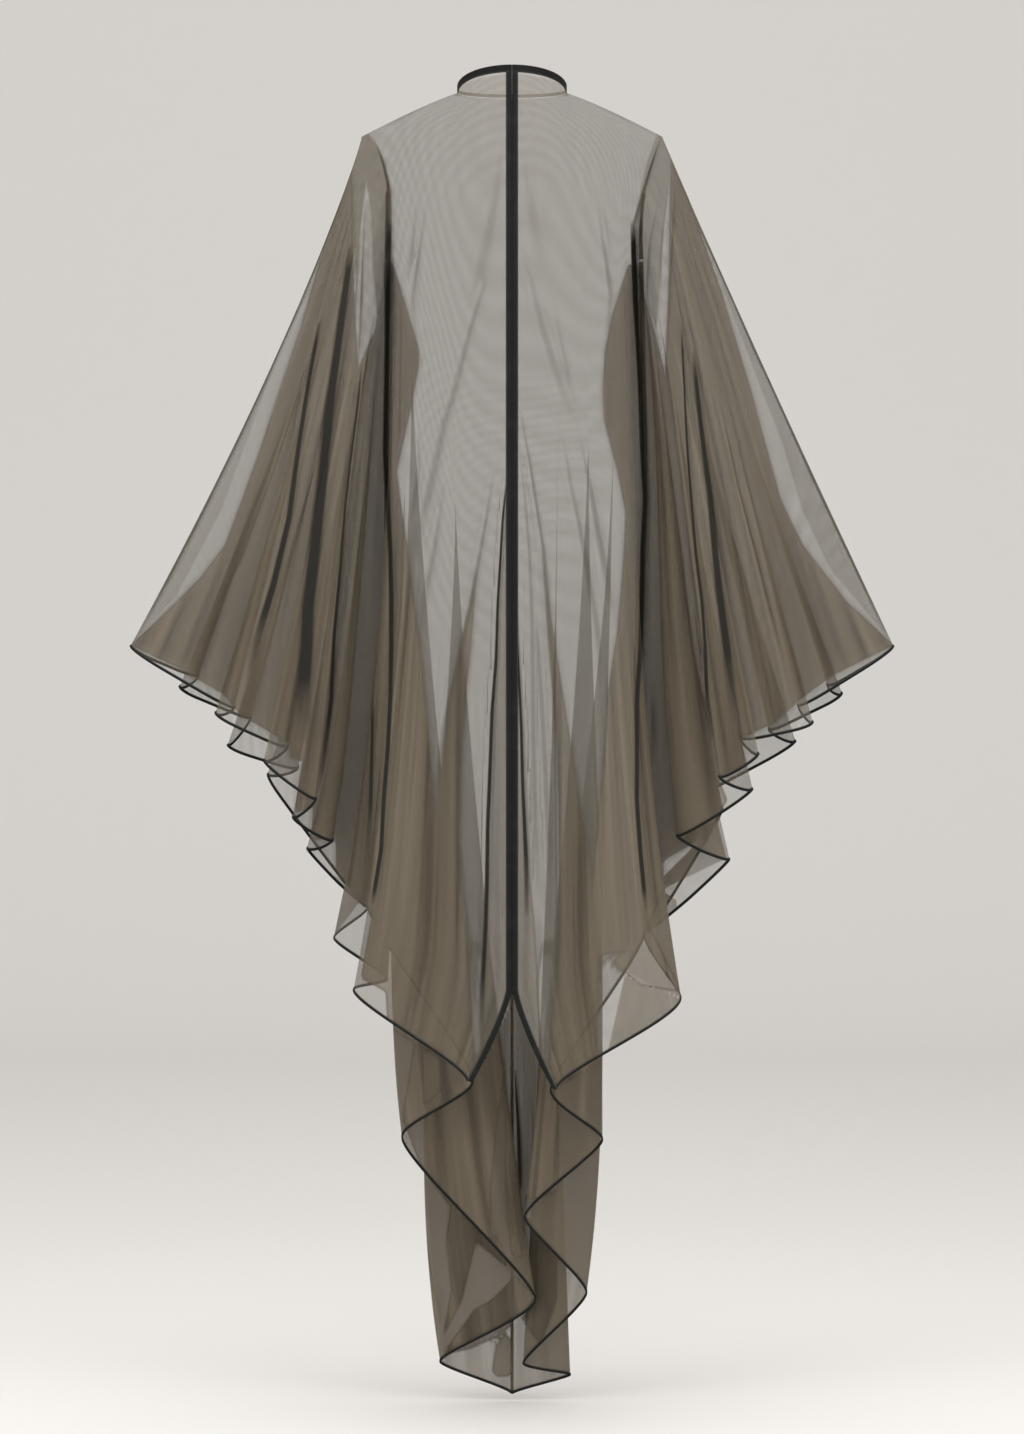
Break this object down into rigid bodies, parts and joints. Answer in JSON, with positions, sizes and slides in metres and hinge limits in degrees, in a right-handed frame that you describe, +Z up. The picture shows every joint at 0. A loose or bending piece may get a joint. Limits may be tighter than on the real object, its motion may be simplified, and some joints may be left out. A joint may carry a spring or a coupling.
{
  "type": "worn kimono abaya",
  "caption": "Floor-length open-front kimono abaya of sheer brown cloth in its hollow worn shape, with wide butterfly sleeves, black bound edges and neck, and a long trailing back hem.",
  "frame": {"origin": "On the centre line between the shoulders at the base of the neck, where the wearer holds the garment up", "axes": "+Z up along the garment's length, the front faces -Y, +X points to the wearer's left"},
  "size_m": [0.9163, 0.3291, 1.6172],
  "materials": {
    "sheer_cloth": "sheer plain weave with a soft sheen",
    "black_binding": "matt bound edge",
    "self_binding": "matt bound edge"
  },
  "bodies": {
    "root": {"front_right": "sheer_cloth", "front_hem_binding_right": "black_binding", "back_right": "sheer_cloth", "back_hem_binding_right": "black_binding", "sleeve_front_right": "sheer_cloth", "sleeve_front_hem_binding_right": "black_binding", "sleeve_back_right": "sheer_cloth", "sleeve_back_hem_binding_right": "black_binding", "front_band_right": "black_binding", "side_seam_tape_right": "black_binding", "underarm_tape_right": "black_binding", "neck_band_right": "black_binding", "front_left": "sheer_cloth", "front_hem_binding_left": "black_binding", "back_left": "sheer_cloth", "back_hem_binding_left": "black_binding", "sleeve_front_left": "sheer_cloth", "sleeve_front_hem_binding_left": "black_binding", "sleeve_back_left": "sheer_cloth", "sleeve_back_hem_binding_left": "black_binding", "front_band_left": "black_binding", "side_seam_tape_left": "black_binding", "underarm_tape_left": "black_binding", "neck_band_left": "black_binding", "centre_back_tape": "black_binding", "back_neck_binding": "self_binding"}
  },
  "joints": []
}
